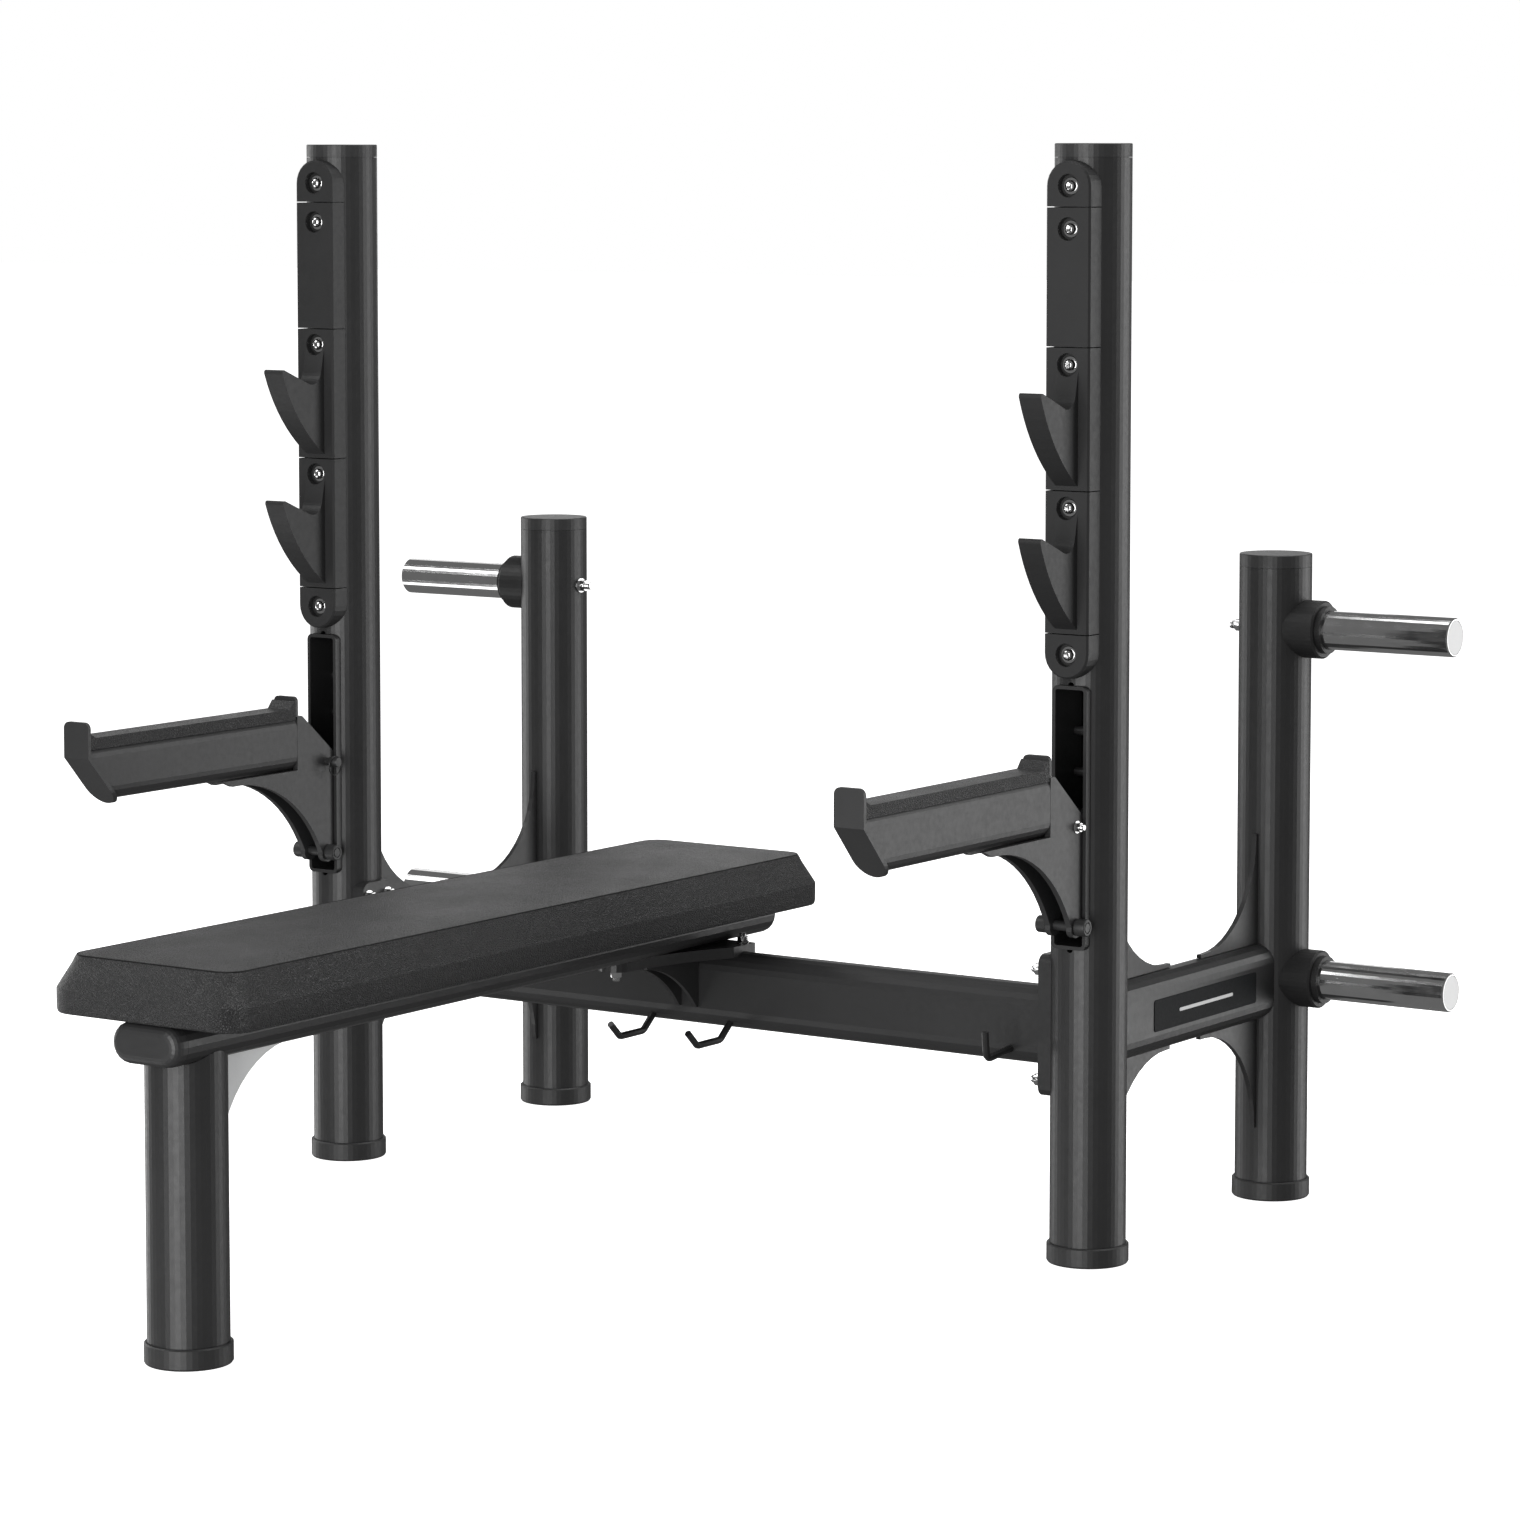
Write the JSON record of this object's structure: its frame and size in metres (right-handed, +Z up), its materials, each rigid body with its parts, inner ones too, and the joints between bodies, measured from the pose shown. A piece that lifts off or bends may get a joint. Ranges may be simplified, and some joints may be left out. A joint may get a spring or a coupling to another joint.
{
  "type": "olympic bench press",
  "caption": "Flat bench bolted to a two-upright barbell rack with J-hooks, hook-on spotter arms, rear plate-storage posts and rubber feet.",
  "frame": {"origin": "on the floor, under the middle of the object's bounding box", "axes": "+Z up, +X across the bench from the left upright to the right one, +Y along the bench from its foot end to the rear storage posts"},
  "size_m": [1.585, 1.5248, 1.294],
  "materials": {
    "frame_paint": "matte charcoal powder coat",
    "slot_paint": "matte charcoal powder coat",
    "arm_paint": "matte charcoal powder coat",
    "rod_paint": "satin black powder coat",
    "strip_plastic": "matte moulded, fine grain",
    "cap_plastic": "matte moulded",
    "arm_pad_plastic": "grained wear surface",
    "foot_rubber": "smooth matte",
    "collar_rubber": "smooth matte",
    "roller_rubber": "smooth matte",
    "horn_chrome": "polished",
    "bare_plate": "matte light grey",
    "pad_leather": "fine grain upholstery"
  },
  "bodies": {
    "frame": {"upright_left": "frame_paint", "rear_post_left": "frame_paint", "upright_cap_left": "cap_plastic", "rear_post_cap_left": "cap_plastic", "foot_upright_left": "foot_rubber", "foot_rear_left": "foot_rubber", "side_beam_left": "frame_paint", "gusset_front_upper_left": "frame_paint", "gusset_front_lower_left": "frame_paint", "gusset_rear_upper_left": "frame_paint", "gusset_rear_lower_left": "frame_paint", "strip_cap_top_left": "strip_plastic", "strip_spacer_left": "strip_plastic", "j_hook_upper_left": "strip_plastic", "j_hook_lower_left": "strip_plastic", "strip_cap_bottom_left": "strip_plastic", "slot_frame_left": "slot_paint", "band_hook_left": "rod_paint", "band_peg_left": "rod_paint", "weight_horn_upper_left": "horn_chrome", "horn_collar_upper_left": "collar_rubber", "weight_horn_lower_left": "horn_chrome", "horn_collar_lower_left": "collar_rubber", "upright_right": "frame_paint", "rear_post_right": "frame_paint", "upright_cap_right": "cap_plastic", "rear_post_cap_right": "cap_plastic", "foot_upright_right": "foot_rubber", "foot_rear_right": "foot_rubber", "side_beam_right": "frame_paint", "gusset_front_upper_right": "frame_paint", "gusset_front_lower_right": "frame_paint", "gusset_rear_upper_right": "frame_paint", "gusset_rear_lower_right": "frame_paint", "strip_cap_top_right": "strip_plastic", "strip_spacer_right": "strip_plastic", "j_hook_upper_right": "strip_plastic", "j_hook_lower_right": "strip_plastic", "strip_cap_bottom_right": "strip_plastic", "slot_frame_right": "slot_paint", "band_hook_right": "rod_paint", "band_peg_right": "rod_paint", "weight_horn_upper_right": "horn_chrome", "horn_collar_upper_right": "collar_rubber", "weight_horn_lower_right": "horn_chrome", "horn_collar_lower_right": "collar_rubber", "crossbar": "frame_paint", "bench_leg": "frame_paint", "foot_front": "foot_rubber", "bench_spine": "frame_paint", "spine_front_cap": "cap_plastic", "leg_gusset": "bare_plate", "bench_bracket": "frame_paint", "bench_pad": "pad_leather"},
    "left_arm": {"arm_left": "arm_paint", "arm_pad_left": "arm_pad_plastic"},
    "left_roller": {"arm_roller_left": "roller_rubber"},
    "right_arm": {"arm_right": "arm_paint", "arm_pad_right": "arm_pad_plastic"},
    "right_roller": {"arm_roller_right": "roller_rubber"}
  },
  "joints": [
    {"name": "left_arm_lift", "type": "slide", "parent": "frame", "child": "left_arm", "axis": [0, 0, 1], "range_m": [0, 0.027]},
    {"name": "left_roller_spin", "type": "hinge", "parent": "left_arm", "child": "left_roller", "pos_m": [-0.549, 0.20738, 0.4005], "axis": [1, 0, 0], "continuous": true},
    {"name": "right_arm_lift", "type": "slide", "parent": "frame", "child": "right_arm", "axis": [0, 0, 1], "range_m": [0, 0.027]},
    {"name": "right_roller_spin", "type": "hinge", "parent": "right_arm", "child": "right_roller", "pos_m": [0.549, 0.20738, 0.4005], "axis": [1, 0, 0], "continuous": true}
  ]
}
